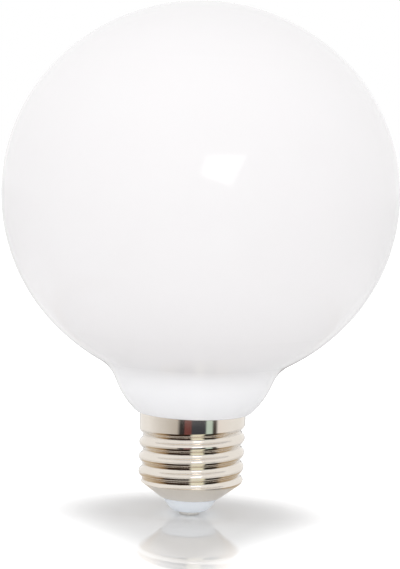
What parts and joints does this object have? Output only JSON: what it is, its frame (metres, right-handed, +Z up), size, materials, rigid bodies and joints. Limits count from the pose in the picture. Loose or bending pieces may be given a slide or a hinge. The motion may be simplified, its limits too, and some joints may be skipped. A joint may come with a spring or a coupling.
{
  "type": "globe bulb",
  "caption": "Opal white glass globe light bulb on a short round neck, with a nickel-plated screw cap, a white insulator and a centre contact.",
  "frame": {"origin": "centre of the centre contact's flat face, the lowest point of the bulb", "axes": "+Z up the bulb's axis, from the contact to the crown of the globe; the camera of the picture looks along +Y, with +X to its right; the bulb is the same all round but for the thread"},
  "size_m": [0.0972, 0.0972, 0.1265],
  "materials": {
    "opal_glass": "blown opal white glass with a glossy fire-polished surface, opaque to the eye",
    "nickel_plate": "bright nickel plate, slightly warm",
    "white_insulator": "cool white moulded plastic, slight gloss",
    "contact_metal": "nickel-plated rivet, low gloss"
  },
  "bodies": {
    "root": {"glass_globe": "opal_glass", "screw_shell": "nickel_plate", "insulator": "white_insulator", "centre_contact": "contact_metal"}
  },
  "joints": []
}
